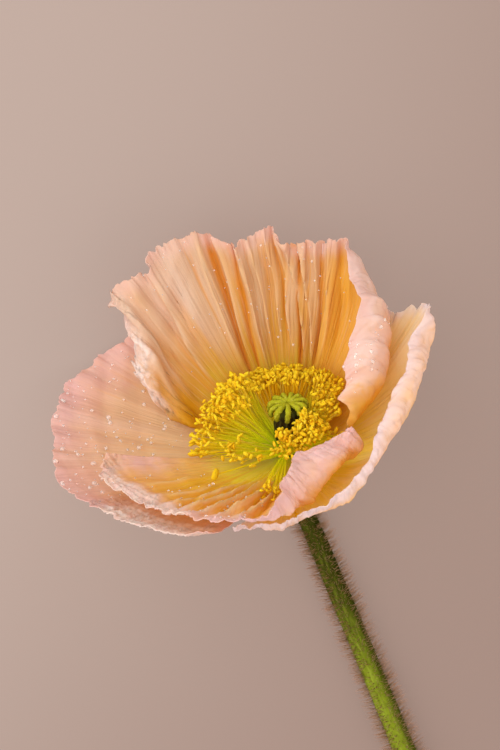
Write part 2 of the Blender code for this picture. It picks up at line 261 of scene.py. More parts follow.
# ---- node helpers
class Nodes:
    """A short way to write a material's nodes."""

    def __init__(self, name):
        self.material = bpy.data.materials.new(name)
        self.material.use_nodes = True
        self.tree = self.material.node_tree
        self.shader = self.tree.nodes["Principled BSDF"]
        self.out = self.tree.nodes["Material Output"]
        self.colour = None

    def add(self, kind, **settings):
        node = self.tree.nodes.new("ShaderNode" + kind)
        for key, value in settings.items():
            setattr(node, key, value)
        return node

    def link(self, a, b):
        self.tree.links.new(a, b)

    def feed_all(self, node, **values):
        """Feed a node's sockets by name, with _ for a space."""
        for key, value in values.items():
            self.feed(node.inputs[key.replace("_", " ")], value)

    def feed(self, socket, value):
        if isinstance(value, bpy.types.NodeSocket):
            self.link(value, socket)
        elif isinstance(value, (tuple, list)) and len(value) == 3 and socket.type == "RGBA":
            socket.default_value = (*value, 1)
        else:
            socket.default_value = value

    def number(self, name):
        return self.add("Attribute", attribute_name=name).outputs["Fac"]

    def math(self, operation, a, b=0.0, c=0.0):
        node = self.add("Math", operation=operation)
        for socket, value in zip(node.inputs, (a, b, c)):
            self.feed(socket, value)
        return node.outputs[0]

    def times(self, value, *factors):
        for factor in factors:
            value = self.math("MULTIPLY", value, factor)
        return value

    def plus(self, a, b):
        return self.math("ADD", a, b)

    def minus(self, a, b):
        return self.math("SUBTRACT", a, b)

    def span(self, value, low, high, to_low=0.0, to_high=1.0):
        """Smooth step from to_low to to_high as the value goes from low to high."""
        node = self.add("MapRange", interpolation_type="SMOOTHSTEP")
        self.feed_all(node, Value=value, From_Min=low, From_Max=high, To_Min=to_low, To_Max=to_high)
        return node.outputs["Result"]

    def mix(self, factor, a, b, blend="MIX"):
        node = self.add("Mix", data_type="RGBA", blend_type=blend)
        self.feed(node.inputs["Factor"], factor)
        ins = [s for s in node.inputs if s.type == "RGBA"]
        self.feed(ins[0], a)
        self.feed(ins[1], b)
        return [s for s in node.outputs if s.type == "RGBA"][0]

    def paint(self, factor, colour):
        """Lay another colour over the material's own, as strongly as the factor says."""
        self.colour = self.mix(factor, self.colour, colour)

    def ramp(self, value, stops):
        node = self.add("ValToRGB")
        node.color_ramp.interpolation = "EASE"
        points = node.color_ramp.elements
        points[0].position, points[1].position = stops[0][0], stops[-1][0]
        points[0].color, points[1].color = (*stops[0][1], 1), (*stops[-1][1], 1)
        for at, colour in stops[1:-1]:
            points.new(at).color = (*colour, 1)
        self.link(value, node.inputs[0])
        return node.outputs[0]

    def vector(self, x, y, z=0.0):
        node = self.add("CombineXYZ")
        for socket, value in zip(node.inputs, (x, y, z)):
            self.feed(socket, value)
        return node.outputs[0]

    def noise(self, vector, scale, detail=3.0, rough=0.55, distortion=0.0):
        node = self.add("TexNoise")
        self.feed_all(node, Vector=vector, Scale=scale, Detail=detail)
        self.feed_all(node, Roughness=rough, Distortion=distortion)
        return node.outputs["Fac"]

    def bump(self, height, strength, distance):
        node = self.add("Bump")
        self.feed_all(node, Strength=strength, Distance=distance, Height=height)
        return node.outputs["Normal"]

    def place(self):
        return self.add("TexCoord").outputs["Object"]

    def surface(self, rough, specular, **more):
        """Feed the shader its colour, roughness and level of reflection, and more sockets by name."""
        sockets = dict(Base_Color=self.colour, Roughness=rough, Specular_IOR_Level=specular)
        self.feed_all(self.shader, **sockets, **more)

    def blend_shader(self, factor, other):
        """Mix the shader with another one, and send that to the output."""
        both = self.add("MixShader")
        self.feed(both.inputs[0], factor)
        self.link(self.shader.outputs[0], both.inputs[1])
        self.link(other.outputs[0], both.inputs[2])
        self.link(both.outputs[0], self.out.inputs["Surface"])

    def let_through(self, share, colour):
        """Let part of the light through the surface, in this colour."""
        glow = self.add("BsdfTranslucent")
        self.link(colour, glow.inputs["Color"])
        self.blend_shader(share, glow)
        return glow


def petal_material(name, inside, tint):
    """Papery petal: colour runs out from the claw, streaked along the veins; the margin is pale pink."""
    n = Nodes(name)
    along, edge, fold, turn = n.number("along"), n.number("edge"), n.number("fold"), n.number("turn")
    streak = n.noise(n.vector(n.times(turn, 150), n.times(along, 1.2)), 1, 4, 0.6)
    broad = n.noise(n.vector(n.times(turn, 34), along, 3), 1, 2)
    veins = n.noise(n.vector(n.times(turn, 620), n.times(along, 3), 7), 1, 2, 0.5)
    # rolled margins show their back: no streaks there, only soft mottling
    flap = n.number("flap")
    plain = n.span(flap, 0, 1, 1, 0.12)
    streak = n.math("MULTIPLY_ADD", n.minus(streak, 0.5), plain, 0.5)
    veins = n.math("MULTIPLY_ADD", n.minus(veins, 0.5), plain, 0.5)
    mottle = n.noise(n.place(), 420, 4, 0.65)
    cloud = n.noise(n.place(), 75, 3, 0.6)
    shifted = n.plus(along, n.times(n.minus(streak, 0.5), tint["streaks"]))
    shifted = n.plus(shifted, n.times(n.minus(cloud, 0.5), 0.3))
    if inside:
        n.colour = n.ramp(shifted, tint["inside"])
        panel = n.times(n.span(broad, 0.46, 0.6, 0, 0.7), n.span(along, 0.35, 0.85))
        panel = n.math("MAXIMUM", panel, n.times(n.number("panel"), n.span(along, 0.3, 0.62)))
        n.paint(n.times(panel, tint["panel_share"]), tint["panel"])
        n.paint(n.span(streak, 0.52, 0.68, 0, tint["warm_share"]), tint["warm"])
        # painted highlight, cream, on the ridges of the folds, and painted shade, deep orange, in their
        # grooves
        ridge = n.times(n.span(fold, 0.12, 0.75), n.span(along, 0.2, 0.5))
        n.paint(n.times(ridge, 0.65), tint["ridge"])
        deep = n.times(n.span(fold, -0.04, -0.6), n.span(along, 0.1, 0.3))
        n.paint(n.times(deep, 0.85), tint["groove"])
        # a pale part towards the left, and a painted glow at the right: saturated orange that stands in
        # for light through the petal where it lies in shade
        side = n.times(n.span(turn, 105 / 360, 125 / 360), n.span(turn, 154 / 360, 147 / 360))
        outer = n.span(along, 0.38, 0.8, 0, tint["pale_share"])
        n.paint(n.times(side, outer, n.span(broad, 0.3, 0.62, 0.35, 1)), tint["pale"])
        glowing = n.span(along, 0.95, 0.7, 0, tint["glow_share"])
        n.paint(n.times(n.span(turn, 62 / 360, 50 / 360), glowing), tint["glow"])
    else:
        n.colour = n.ramp(shifted, tint["outside"])
        n.paint(n.times(n.span(cloud, 0.45, 0.7, 0, 0.45), n.span(along, 0.4, 0.65)), tint["blush"])
        flap_from = tint["flap_from"]
        bare = n.times(flap, n.span(along, flap_from, flap_from + 0.25, 0, tint["flap_share"]))
        patches = n.span(n.noise(n.place(), 170, 3, 0.6, 0.8), 0.36, 0.56, tint["patches"], 1)
        n.paint(n.times(bare, patches), tint["flap"])
        n.paint(n.span(streak, 0.52, 0.72, 0, 0.25), tint["warm"])
    n.paint(n.span(veins, 0.5, 0.75, 0, 0.25), tint["vein"])
    rim = n.times(n.span(edge, tint["rim_width"], 0.02), n.span(cloud, 0.3, 0.62, 0.4, 1))
    rim = n.times(rim, n.span(mottle, 0.25, 0.65, 0.7, 1), n.span(along, 0.35, 0.62, 0.3, 1))
    n.paint(n.times(rim, tint["rim_share"]), tint["rim"])
    # pale crinkled lip: partly the margin's own pale pink, partly painted light that lifts the shade on it
    crinkles = n.span(n.noise(n.place(), 260, 3, 0.6, 1.2), 0.38, 0.56, 0.5, 1)
    n.paint(n.times(n.number("lip"), crinkles, n.span(along, 0.36, 0.52)), LIP)
    # painted shade: deep golden in the hollow of the pocket at the far left
    if inside:  # a deep golden pocket at the far left
        pocket_shade = n.span(along, 0.56, 0.38, 0, tint["pocket_share"])
        n.paint(n.times(n.span(turn, 144 / 360, 149 / 360), pocket_shade), POCKET_SHADE)
    height = n.plus(n.plus(n.times(streak, 1.2), n.times(veins, 0.6)), n.times(mottle, 0.35))
    normal = n.bump(height, tint["bump"], 0.4 * MM)
    n.surface(n.span(streak, 0.2, 0.8, 0.4, 0.58), 0.35, Sheen_Weight=0.1, Normal=normal)
    # a faint painted glow: the petal gives off a little light of its own in its colour, which lifts its
    # shade
    if tint["shine"]:
        n.feed_all(n.shader, Emission_Color=n.colour, Emission_Strength=tint["shine"])
    glow = n.let_through(tint["translucent"], n.mix(1, n.colour, tint["through"], "MULTIPLY"))
    n.link(normal, glow.inputs["Normal"])
    return n.material


LIP = (1, 0.88, 0.83)
# colour of the painted shade in the pocket at the back petal's far left
POCKET_SHADE = (0.82, 0.43, 0.002)
# what a petal has unless its own tint says otherwise
PLAIN = dict(
    outside=(
        (0, (0.84, 0.72, 0.03)), (0.3, (0.94, 0.64, 0.03)), (0.5, (0.95, 0.62, 0.08)),
        (0.7, (0.95, 0.72, 0.48)), (0.95, (0.95, 0.76, 0.65)),
    ),
    blush=(0.95, 0.66, 0.54), through=(1, 0.9, 0.7), translucent=0.42, vein=(0.95, 0.78, 0.6),
    rim_share=0.75, panel_share=0.6, warm_share=0.35, pale=(0.94, 0.72, 0.54), pale_share=0,
    glow=(0.98, 0.58, 0.05), glow_share=0, pocket_share=0, flap=(0.98, 0.83, 0.79),
    flap_share=0.85, flap_from=0.5, patches=0.45, streaks=0.3, bump=0.6, shine=0,
)
TINT = {
    "back": dict(
        PLAIN,
        inside=(
            (0, (0.95, 0.92, 0.03)), (0.2, (0.8, 0.61, 0.01)), (0.42, (0.76, 0.41, 0.03)),
            (0.62, (0.79, 0.42, 0.08)), (0.8, (0.77, 0.43, 0.17)), (0.98, (0.8, 0.47, 0.31)),
        ),
        panel=(0.79, 0.55, 0.34), panel_share=0.85, groove=(0.8, 0.31, 0.006),
        ridge=(0.92, 0.65, 0.34), warm=(0.86, 0.42, 0.03), warm_share=0.55, rim=(0.94, 0.67, 0.61),
        rim_share=0.85, rim_width=0.28, pale=(0.86, 0.68, 0.56), pale_share=0.85, glow_share=0.75,
        pocket_share=1, flap_from=0.36,
    ),
    "front": dict(
        PLAIN,
        inside=(
            (0, (0.92, 1, 0.1)), (0.22, (1, 0.97, 0.06)), (0.42, (0.96, 0.69, 0.04)),
            (0.62, (0.95, 0.62, 0.1)), (0.8, (0.95, 0.63, 0.28)), (0.95, (0.94, 0.64, 0.44)),
        ),
        panel=(0.95, 0.66, 0.32), groove=(0.86, 0.5, 0.004), ridge=(0.99, 0.84, 0.48),
        warm=(0.95, 0.57, 0.04), rim=(0.91, 0.69, 0.74), rim_width=0.48, rim_share=0.9,
        flap=(0.97, 0.77, 0.74), flap_share=0.95, flap_from=0.18, patches=0.7, translucent=0.5,
        shine=0.05,
    ),
    "left": dict(
        PLAIN,
        inside=(
            (0, (0.84, 0.9, 0.03)), (0.22, (0.92, 0.8, 0.22)), (0.42, (0.89, 0.67, 0.39)),
            (0.66, (0.87, 0.6, 0.37)), (0.84, (0.88, 0.56, 0.43)), (1, (0.88, 0.56, 0.5)),
        ),
        panel=(0.87, 0.63, 0.52), groove=(0.89, 0.55, 0.2), ridge=(0.92, 0.69, 0.54),
        warm=(0.92, 0.56, 0.2), rim=(0.9, 0.61, 0.6), rim_width=0.45, streaks=0.16, bump=0.35,
    ),
    "right": dict(
        PLAIN,
        inside=(
            (0, (0.88, 0.72, 0.02)), (0.25, (0.98, 0.82, 0.1)), (0.5, (0.98, 0.86, 0.44)),
            (0.75, (0.98, 0.86, 0.6)), (0.95, (0.98, 0.84, 0.66)),
        ),
        panel=(0.96, 0.8, 0.58), groove=(0.96, 0.74, 0.26), ridge=(0.97, 0.82, 0.56),
        warm=(0.97, 0.78, 0.34), rim=(0.9, 0.83, 0.9), rim_width=0.24, rim_share=0.95,
        flap=(0.95, 0.79, 0.72), flap_share=0.95, flap_from=0.4, patches=0.1, translucent=0.56,
        shine=0.08, through=(1, 0.92, 0.8),
    ),
}


# ---- petals
LONGEST = 58 * MM
THICKNESS = 0.2 * MM
EDGE_BAND = 20  # mm over which the edge attribute goes from 0 to 1


def small_folds(draw, low, high, count):
    """Extra pleats between the main ones: each starts and dies out somewhere along the petal."""
    found = []
    for _ in range(count):
        at = draw.uniform(low, high)
        inner_at = at + draw.uniform(-2.5, 2.5)
        height = draw.choice((-1, 1)) * draw.uniform(0.12, 0.55)
        wide = draw.uniform(0.45, 1.3)
        found.append((at, inner_at, height, wide, draw.uniform(0.05, 0.5), draw.uniform(0.7, 1.4)))
    return found


def across_and_normal(points, order):
    """At each point of a petal, the way across its veins and the way out of its inner face."""
    tangent = unit(np.gradient(points, axis=1))
    across = unit(np.gradient(points, axis=0) * order)
    return across, unit(np.cross(tangent, across))


def petal_points(ribs, drop, folds, columns, steps, seed, look):
    """Fine surface of one petal in the head's frame, with its attributes."""
    draw = np.random.default_rng(seed)
    rows = np.array(ribs, float)
    order = 1 if rows[-1, 0] > rows[0, 0] else -1
    wanted = np.linspace(rows[0, 0], rows[-1, 0], columns)
    row = catmull(rows, np.interp(wanted * order, rows[:, 0] * order, np.arange(len(rows))))
    azimuth, column = row[:, 0], row[:, 0:1]
    roll, roll_span, drift = row[:, 6:7], row[:, 7:8], row[:, 8:9]

    def at_rim(scale, key):
        return noise1(azimuth * scale, seed + key)

    def over(scale_across, scale_out, key):
        return noise2(arc * scale_across, out_mm * scale_out, seed + key)

    # the rim is ragged, with small nicks; where the margin is rolled over it is calmer
    calm = 1 - 0.8 * np.clip(row[:, 6] / 90, 0, 1)
    ragged = 0.6 * at_rim(0.35, 0)
    teeth = look["serration"] * at_rim(3.1, 2)
    ragged += calm * (0.4 * at_rim(1.1, 1) + teeth)
    for _ in range(look["nicks"]):
        at = draw.uniform(azimuth.min(), azimuth.max())
        deep, wide = draw.uniform(0.3, 1.3), draw.uniform(0.4, 1.3)
        ragged -= calm * deep * np.exp(-np.abs((azimuth - at) / wide) ** 1.3)
    length = (row[:, 1:2] + ragged[:, None]) * MM
    t = 1 - (1 - np.linspace(0, 1, steps)) ** 1.25  # closer together towards the rim
    rise = np.stack([catmull(row[k, 2:6][:, None], 3 * t)[:, 0] for k in range(columns)])
    uneven = at_rim(0.07, 30) + 0.5 * at_rim(0.18, 31)
    span = roll_span * (1 + look["uneven"] * uneven)[:, None] * MM
    rolled = np.clip(1 - (1 - t) * length / span, 0, 1) ** 1.2
    wobble = 1 + 0.14 * at_rim(0.11, 12)
    rise = rise + roll * wobble[:, None] * rolled
    rise = rise + 9 * t**8 * (calm * at_rim(0.5, 3))[:, None] * look["ruffle"]
    rise = np.radians(rise)
    step = length * np.diff(t)
    out, up = np.cos(rise), np.sin(rise)
    zero = np.zeros((columns, 1))
    radius = CLAW_R + np.hstack([zero, np.cumsum((out[:, 1:] + out[:, :-1]) * step / 2, 1)])
    height = drop + np.hstack([zero, np.cumsum((up[:, 1:] + up[:, :-1]) * step / 2, 1)])
    a = np.radians(column + drift * rolled)
    points = np.stack([radius * np.cos(a), radius * np.sin(a), height], -1)
    along = t * length
    flap = smooth(rolled * np.maximum(roll, 0), 3, 30)
    # folds run out along the veins and open towards the rim
    arc = np.radians(column) * radius / MM
    out_mm = along / MM
    az = column + 1.1 * over(0.05, 0.06, 4) * t
    lift = np.zeros_like(along)
    share = np.clip((t - 0.35) / 0.65, 0, 1)
    extra = small_folds(draw, azimuth.min(), azimuth.max(), look["pleats"])
    for fold in [(*f, look["fold_end"]) for f in folds] + extra:
        rim_at, inner_at, high, wide, start, end = fold
        gap = (az - inner_at - (rim_at - inner_at) * share) / wide
        gap = gap * (1 + 0.35 * np.tanh(2 * gap))  # one side is steeper
        body = smooth(t, start, start + 0.4) * (1 - smooth(t, end - 0.3, end))
        lift += look["folds"] * high * np.exp(-np.abs(gap) ** 1.3) * body
    fine = noise1(az * 0.8, seed + 5) * 0.16 + noise1(az * 2.3, seed + 6) * 0.16
    fine = fine * (0.8 + 0.8 * over(0.08, 0.08, 14))
    lift += look["crease"] * fine * smooth(t, 0.1, 0.5)
    lift = lift * (1 - 0.88 * flap)
    fold = np.clip(lift / 1.2, -1, 1)
    panel = np.zeros_like(along)
    soft = 1.2
    for low, high, strength in look.get("panels", ()):
        panel += strength * smooth(az, low - soft, low + soft) * (1 - smooth(az, high - soft, high + soft))
    wave = noise2(arc * 0.07 + 3, out_mm * 0.05, seed + 7) * 0.9
    wave = (wave + over(0.2, 0.07, 8) * 0.16) * look["wave"]
    crumple = over(0.11, 0.13, 15) * 0.6
    crumple += (0.4 - np.abs(over(0.24, 0.28, 16))) * 0.45 * look["crumple"]
    crumple += (0.4 - np.abs(over(0.6, 0.5, 17))) * 0.14 * look["crumple"]
    lift = lift + wave * smooth(t, 0.25, 0.9) * (1 - 0.6 * flap) + crumple * flap
    frill = at_rim(look["frill"], 9) * 0.7 * (0.3 + 0.7 * calm)
    frill = frill + calm * at_rim(1.3, 10) * 2.0 * look["serration"]
    frill = frill + calm * look["serration"] * at_rim(3.4, 11)
    to_rim = (1 - t) * length / MM
    lift = lift + look["ruffle"] * frill[:, None] * smooth(to_rim, 5.0, 0.0)
    crinkled = np.zeros_like(along)
    if "lip" in look:  # a crinkled lip, curled outwards along part of the rim
        low, high, wide, deep = look["lip"]
        reach = smooth(azimuth, low - 2, low + 2) * (1 - smooth(azimuth, high - 3, high + 3))
        curl = np.clip(1 - to_rim / wide, 0, 1) ** 2 * reach[:, None]
        wrinkle = over(0.5, 0.45, 20)
        wrinkle = wrinkle + 0.5 * over(1.1, 0.9, 21)
        crinkled = smooth(to_rim, wide, wide * 0.5) * reach[:, None]
        lift = lift - deep * curl + 0.6 * wrinkle * crinkled * smooth(to_rim, 0.0, 0.6)
        crinkled = crinkled * smooth(azimuth, low + 3, low + 9)[:, None]
    across, normal = across_and_normal(points, order)
    points = points + normal * (lift * MM)[..., None]
    lean = 0.35 * lift * smooth(t, 0.2, 0.6) * (1 - flap)
    points = points + across * (lean * MM)[..., None]
    sides = np.minimum(np.abs(azimuth - azimuth[0]), np.abs(azimuth - azimuth[-1]))
    edge_side = np.radians(sides)[:, None] * radius / MM
    edge = np.minimum(to_rim, edge_side + 1e3 * (sides > 40)[:, None]) / EDGE_BAND
    _, normal = across_and_normal(points, order)
    turn = np.broadcast_to(column / 360, along.shape)
    numbers = dict(along=along / LONGEST, edge=np.clip(edge, 0, 1), fold=fold, turn=turn)
    numbers |= dict(lip=crinkled, flap=flap, panel=panel)
    return points, normal, numbers, order


def build_petal(name, ribs, drop, folds, columns, steps, seed, look, tint):
    points, normal, numbers, order = petal_points(ribs, drop, folds, columns, steps, seed, look)
    quads = grid_quads(columns, steps)
    if order == -1:
        quads = quads[:, ::-1]
    inside = petal_material(name + "_inside", True, tint)
    outside = petal_material(name + "_outside", False, tint)
    obj = make_mesh(name + "_fine", to_world(points), quads, (inside, outside), numbers)
    thick = obj.modifiers.new("thickness", "SOLIDIFY")
    thick.thickness = THICKNESS
    thick.offset = 0
    thick.material_offset = 1
    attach(obj, "root")
    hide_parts(name)
    return points, normal


BACK_LOOK = dict(
    ruffle=0.7, crease=0.4, pleats=34, nicks=14, serration=0.2, crumple=0.7, wave=1.1, uneven=0.06,
    frill=0.45, folds=0.85, fold_end=9, lip=(138, 161, 10, 3.4),
    panels=((108, 123, 1), (87.5, 98, 0.85), (69.5, 76, 0.8), (57, 65, 0.6)),
)
FRONT_LOOK = dict(
    ruffle=0.8, crease=0.6, pleats=30, nicks=12, serration=0.1, crumple=1.1, wave=0.8, uneven=0.22,
    frill=0.22, folds=0.8, fold_end=1.06, lip=(192, 234, 6, 0),
)
LEFT_LOOK = dict(
    ruffle=0.6, crease=0.22, pleats=14, nicks=7, serration=0.12, crumple=1, wave=0.45, uneven=0.1,
    frill=0.35, folds=0.42, fold_end=9, lip=(201, 238, 15, 0),
)
RIGHT_LOOK = dict(
    ruffle=0.7, crease=0.6, pleats=40, nicks=18, serration=0.25, crumple=1.7, wave=1, uneven=0.09,
    frill=0.3, folds=0.8, fold_end=9,
)
# ribs, drop below the inner petals, folds, columns, steps, seed and look
PETALS = {
    "back": (BACK_RIBS, 0, BACK_FOLDS, 580, 76, 11, BACK_LOOK),
    "front": (FRONT_RIBS, 0, FRONT_FOLDS, 400, 84, 23, FRONT_LOOK),
    "left": (LEFT_RIBS, OUTER_DROP, LEFT_FOLDS, 400, 80, 37, LEFT_LOOK),
    "right": (RIGHT_RIBS, OUTER_DROP, RIGHT_FOLDS, 460, 84, 51, RIGHT_LOOK),
}
petals = {k: build_petal("petal_" + k, *made_of, TINT[k]) for k, made_of in PETALS.items()}


# ---- tubes for stem, filaments, rays and hairs
def tubes(paths, radii, sides):
    """Paths (count, knots, 3) and radii (count, knots) as open tubes: their points and quads, with each
    point's place along the tube and its way out from the middle."""
    count, knots, _ = paths.shape
    tangent = unit(np.gradient(paths, axis=1))
    first = np.where(np.abs(tangent[:, :1, 2:3]) < 0.9, np.array([0, 0, 1.0]), np.array([1.0, 0, 0]))
    side = unit(np.cross(tangent, np.broadcast_to(first, tangent.shape)))
    other = np.cross(tangent, side)
    angle = np.linspace(0, 2 * math.pi, sides, endpoint=False)
    cos, sin = np.cos(angle)[:, None], np.sin(angle)[:, None]
    ring = side[:, :, None] * cos + other[:, :, None] * sin
    points = paths[:, :, None] + ring * radii[:, :, None, None]
    quads = copies(grid_quads(knots, sides, wrap=True), count, knots * sides)
    place = np.broadcast_to(np.linspace(0, 1, knots)[None, :, None], points.shape[:3])
    return points.reshape(-1, 3), quads, place.reshape(-1), ring.reshape(-1, 3)


# ---- stamens
LONE_ANTHER = 1.8  # a stamen that stands alone has a bigger anther
# bunches: azimuth, elevation and length from and to, how many, share of golden brown
BUNCHES = (
    (45, 130, 50, 70, 15.2, 18, 380, 0.8), (10, 48, 44, 56, 16, 19, 100, 0.5),
    (122, 178, 30, 66, 15.5, 20.5, 350, 0.15), (174, 192, 18, 30, 18.5, 21.5, 46, 0.1),
    (198, 198.8, 28.8, 29.3, 22.6, 23, 1, 0.3), (198, 218, 33, 46, 13, 17, 26, 0),
    (220.9, 221.9, 26.8, 27.4, 24.2, 24.6, 1, 0.3), (222, 246, 34, 46, 13, 17, 10, 0),
    (250, 264, 25, 31, 25, 29, 24, 0.1), (255, 300, 52, 68, 12.5, 15.5, 120, 0.1),
    (298, 330, 56, 76, 12.5, 16, 105, 0.1), (350, 378, 46, 62, 12.5, 16, 66, 0.25),
    (315, 338, 27, 38, 11.5, 13.5, 16, 0.1),
)


def stamen_set():
    """Random stamens: azimuth, elevation, length, root radius, depth, golden brown, anther size."""
    found = []
    for low, high, flat, steep, short, long, count, brown in BUNCHES:
        for _ in range(count):
            depth = rng.uniform(0, 1)
            high_part = np.clip(1 - depth + rng.normal(0, 0.22), 0, 1)
            az, rise = rng.uniform(low, high), flat + (steep - flat) * high_part
            length = rng.uniform(short, long) + rng.normal(0, 0.3)
            golden = np.clip(brown + rng.normal(0, 0.12), 0, 1)
            anther = LONE_ANTHER if count == 1 else 1
            found.append((az, rise, length, 2.15 + 1.25 * depth, depth, golden, anther))
    return np.array(found)


def build_stamens(name, chosen, nodes, materials):
    """Filaments with their anthers as one mesh."""
    count = len(chosen)
    knots, sides = 8, 4
    t = np.linspace(0, 1, knots)[None, :]
    az, rise = np.radians(chosen[:, 0:1]), np.radians(chosen[:, 1:2])
    length = chosen[:, 2:3] * MM
    bend = rng.uniform(-0.3, 0.16, (count, 1))
    sway = rng.normal(0, 0.07, (count, 1))
    e = rise + bend * (t - 0.45)
    radius = chosen[:, 3:4] * MM + length * t * np.cos(e)
    height = 0.25 * MM + length * t * np.sin(e)
    a = az + sway * t * t
    path = to_world(np.stack([radius * np.cos(a), radius * np.sin(a), height], -1))
    thick = np.broadcast_to((0.26 - 0.11 * t) * MM, (count, knots))
    points, quads, place, _ = tubes(path, thick, sides)
    tone = np.repeat(rng.uniform(0, 1, count), knots * sides)
    brown = np.repeat(chosen[:, 5], knots * sides)
    # anthers: plump two-lobed ovals
    rings, around = 6, 7
    v, u = ball_angles(rings, around, 0.08)
    waist = 1 - 0.3 * np.cos(u) ** 8
    ball = np.stack([np.sin(v) * np.cos(u) * waist * 0.8, np.sin(v) * np.sin(u), np.cos(v)], -1)
    ball = ball.reshape(-1, 3)
    end = path[:, -1]
    way = unit(path[:, -1] - path[:, -2])
    tilt = unit(way + rng.normal(0, 0.75, (count, 3)))
    spin = unit(np.cross(tilt, rng.normal(0, 1, (count, 3))))
    third = np.cross(tilt, spin)
    long = rng.uniform(0.66, 1.06, (count, 1, 1)) * chosen[:, 6, None, None] * MM
    wide = rng.uniform(0.43, 0.61, (count, 1, 1)) * chosen[:, 6, None, None] * MM
    pods = (
        end[:, None]
        + spin[:, None] * ball[None, :, 0:1] * wide
        + third[:, None] * ball[None, :, 1:2] * wide * 0.9
        + tilt[:, None] * ball[None, :, 2:3] * long
    )
    pods = pods + 0.06 * MM * rng.normal(0, 1, pods.shape)
    pod_points = rings * around
    start = len(points)
    many = copies(grid_quads(rings, around, wrap=True)[:, ::-1], count, pod_points) + start
    caps = []
    for k in range(count):
        caps += [face[::-1] for face in end_caps(start + k * pod_points, rings, around)]
    all_points = np.vstack([points, pods.reshape(-1, 3)])
    indices = [0] * len(quads) + [1] * (len(many) + len(caps))
    numbers = {
        "along": np.concatenate([place, np.ones(count * pod_points)]),
        "tone": np.concatenate([tone, np.repeat(rng.uniform(0, 1, count), pod_points)]),
        "brown": np.concatenate([brown, np.repeat(chosen[:, 5], pod_points)]),
    }
    obj = make_mesh(name, all_points, [*quads, *many, *caps], materials, numbers, indices)
    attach(obj, "root")
    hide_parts(*nodes)


def filament_material():
    n = Nodes("filament")
    n.colour = n.ramp(n.number("along"), (
        (0, (0.86, 0.94, 0.03)), (0.3, (0.97, 0.98, 0.03)),
        (0.75, (0.98, 0.94, 0.04)), (1, (0.97, 0.8, 0.04)),
    ))
    n.paint(n.times(n.number("brown"), n.span(n.number("along"), 0.1, 0.75)), (0.96, 0.64, 0.012))
    n.paint(n.span(n.number("tone"), 0.6, 1, 0, 0.6), (0.88, 0.74, 0.16))
    rough = n.span(n.noise(n.place(), 900), 0.3, 0.7, 0.4, 0.6)
    # a faint painted glow: the filaments give off a little light of their own in their colour, which lifts
    # the shade between them
    n.surface(rough, 0.1, Emission_Color=n.colour, Emission_Strength=0.09)
    n.let_through(0.62, n.colour)
    return n.material


def anther_material():
    n = Nodes("anther")
    grains = n.noise(n.place(), 2600, 4, 0.7)
    stops = ((0.25, (0.9, 0.54, 0.008)), (0.5, (0.98, 0.72, 0.015)), (0.75, (1, 0.86, 0.16)))
    n.colour = n.ramp(grains, stops)
    n.paint(n.span(n.number("tone"), 0.3, 1, 0, 0.7), (0.94, 0.5, 0.006))
    n.paint(n.times(n.number("brown"), 0.55), (0.78, 0.46, 0.008))
    n.surface(n.span(grains, 0.3, 0.7, 0.6, 0.85), 0.08, Normal=n.bump(grains, 0.8, 0.3 * MM))
    return n.material


# three pieces by depth, each of which stands for a third of the CAD stamens
looks = (filament_material(), anther_material())
stamens = stamen_set()
nodes = sorted(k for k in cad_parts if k.startswith("stamen_"))
third = len(nodes) // 3
for k, label in enumerate(("inner", "middle", "outer")):
    low, high = (0, 0.34, 0.67, 1.01)[k : k + 2]
    part = stamens[(stamens[:, 4] >= low) & (stamens[:, 4] < high)]
    build_stamens(f"stamens_{label}", part, nodes[k * third : (k + 1) * third], looks)


# ---- pistil
def pistil_material():
    n = Nodes("pistil")
    up = n.number("up")
    fuzz = n.noise(n.place(), 1500, 4, 0.7)
    # painted shade: the ovary under the drooping rays is near black, green only at its foot; the rays are
    # lighter green, palest at the top
    n.colour = n.ramp(up, (
        (0, (0.22, 0.26, 0.01)), (0.2, (0.05, 0.04, 0.006)), (0.62, (0.03, 0.018, 0.006)),
        (0.68, (0.08, 0.08, 0.01)), (0.82, (0.17, 0.15, 0.004)), (0.92, (0.36, 0.35, 0.008)),
        (1, (0.48, 0.47, 0.015)),
    ))
    n.paint(n.times(n.number("stripe"), 0.35), (0.14, 0.13, 0.03))
    tips = n.times(n.span(fuzz, 0.5, 0.68), n.span(up, 0.78, 0.92, 0, 0.75))
    n.paint(tips, (0.66, 0.6, 0.08))
    n.surface(n.span(fuzz, 0.3, 0.7, 0.6, 0.85), 0.08, Normal=n.bump(fuzz, 0.9, 0.5 * MM))
    return n.material


def lean_cap(p):
    """The pistil leans a little to the right, and its cap is tipped further back than the flower."""
    side, back, up = p[..., 0], p[..., 1], p[..., 2]
    pivot = 13 * MM
    share = smooth(up, 8 * MM, 13 * MM)
    tip = math.radians(14) * share
    new_back = back * np.cos(tip) + (up - pivot) * np.sin(tip)
    new_up = pivot + (up - pivot) * np.cos(tip) - back * np.sin(tip)
    lean = 1.9 * MM * np.clip(up / (15 * MM), 0, 1.1) ** 1.3
    return np.stack([side + lean, new_back, np.where(share > 0, new_up, up)], -1)


